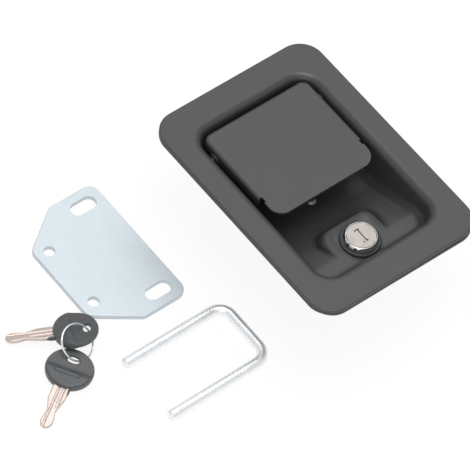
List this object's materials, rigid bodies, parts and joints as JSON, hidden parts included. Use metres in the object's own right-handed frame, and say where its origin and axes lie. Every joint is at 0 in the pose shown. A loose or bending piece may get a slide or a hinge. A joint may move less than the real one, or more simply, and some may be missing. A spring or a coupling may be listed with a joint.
{
  "type": "flush paddle latch with key lock",
  "caption": "Flush paddle latch: a pressed dish with a pull paddle, a key lock and a claw catch behind it, with its U-bolt striker, striker plate and keys.",
  "frame": {"origin": "middle of the panel's outer face, which the gasket lies on", "axes": "+Z out of the panel towards the user, +Y from the key lock to the paddle's hinge, +X across; the kit's longest side lies along X"},
  "size_m": [0.2428, 0.1663, 0.059],
  "materials": {
    "powder_coat": "satin fine-textured black powder coat",
    "gasket_foam": "matt closed-cell foam",
    "zinc_dull": "bright zinc plating, satin",
    "zinc_bright": "bluish bright zinc plating",
    "hardened_steel": "ground steel, lightly oiled",
    "spring_steel": "drawn wire",
    "bush_plastic": "natural acetal",
    "lock_chrome": "polished chrome plating",
    "key_brass": "nickel-plated brass",
    "key_plastic": "dark grey moulded plastic"
  },
  "bodies": {
    "lock": {"dish": "powder_coat", "gasket": "gasket_foam", "weld_studs": "zinc_dull", "paddle_pin": "zinc_dull", "paddle_bushes": "bush_plastic", "paddle_spring": "spring_steel", "latch_case": "zinc_dull", "case_rivets": "zinc_dull", "slider_strap": "zinc_dull", "claw_pin": "zinc_dull", "claw_spacer": "zinc_dull", "claw_spring": "spring_steel", "pawl_pin": "zinc_dull", "pawl_spacer": "zinc_dull", "pawl_spring": "spring_steel", "stop_pin": "zinc_dull", "lock_collar": "powder_coat", "lock_housing": "lock_chrome", "lock_washer": "zinc_dull", "lock_nut": "zinc_dull"},
    "paddle": {"paddle": "powder_coat", "release_tongue": "zinc_dull"},
    "slider": {"trigger_slider": "hardened_steel"},
    "pawl": {"pawl": "hardened_steel"},
    "claw": {"claw": "hardened_steel"},
    "plug": {"lock_plug": "lock_chrome", "lock_cam": "zinc_dull", "cam_screw": "zinc_dull"},
    "striker_plate": {"striker_plate": "zinc_bright"},
    "u_bolt": {"u_bolt": "zinc_bright"},
    "key_ring": {"key_ring": "spring_steel"},
    "key_1": {"key_1_blade": "key_brass", "key_1_head": "key_plastic"},
    "key_2": {"key_2_blade": "key_brass", "key_2_head": "key_plastic"}
  },
  "joints": [
    {"name": "paddle_hinge", "type": "hinge", "parent": "lock", "child": "paddle", "pos_m": [0, 0.041, -0.0035], "axis": [-1, 0, 0], "range_deg": [0, 30], "stiffness_Nm_per_rad": 0.6, "springref_deg": -17.19, "deforming": ["paddle_spring"]},
    {"name": "slider_slide", "type": "slide", "parent": "lock", "child": "slider", "axis": [0, -1, 0], "range_m": [0, 0.0123]},
    {"name": "pawl_pivot", "type": "hinge", "parent": "lock", "child": "pawl", "pos_m": [0, 0.015, -0.049], "axis": [1, 0, 0], "range_deg": [0, 30.1], "deforming": ["pawl_spring"]},
    {"name": "claw_pivot", "type": "hinge", "parent": "lock", "child": "claw", "pos_m": [0, 0.033, -0.037], "axis": [1, 0, 0], "range_deg": [0, 50], "stiffness_Nm_per_rad": 0.1, "springref_deg": -17.19, "deforming": ["claw_spring"]},
    {"name": "key_turn", "type": "hinge", "parent": "lock", "child": "plug", "pos_m": [0, -0.04, -0.0056], "axis": [0, 0, 1], "range_deg": [0, 90]},
    {"name": "plate_lift", "type": "slide", "parent": "lock", "child": "striker_plate", "axis": [0, 0, 1], "range_m": [0, 0.06]},
    {"name": "u_bolt_lift", "type": "slide", "parent": "lock", "child": "u_bolt", "axis": [0, 0, 1], "range_m": [0, 0.06]},
    {"name": "ring_lift", "type": "slide", "parent": "lock", "child": "key_ring", "axis": [0, 0, 1], "range_m": [0, 0.06]},
    {"name": "key_1_swing", "type": "hinge", "parent": "key_ring", "child": "key_1", "pos_m": [-0.13525, 0.01562, -0.04847], "axis": [0, 0, 1], "range_deg": [-12, 0]},
    {"name": "key_2_swing", "type": "hinge", "parent": "key_ring", "child": "key_2", "pos_m": [-0.15154, 0.00511, -0.05139], "axis": [0, 0, 1], "range_deg": [0, 12]}
  ],
  "couplings": [
    {"joint": "slider_slide", "follows": "paddle_hinge", "m_per_rad": 0.0233},
    {"joint": "pawl_pivot", "follows": "paddle_hinge", "ratio": 1}
  ]
}
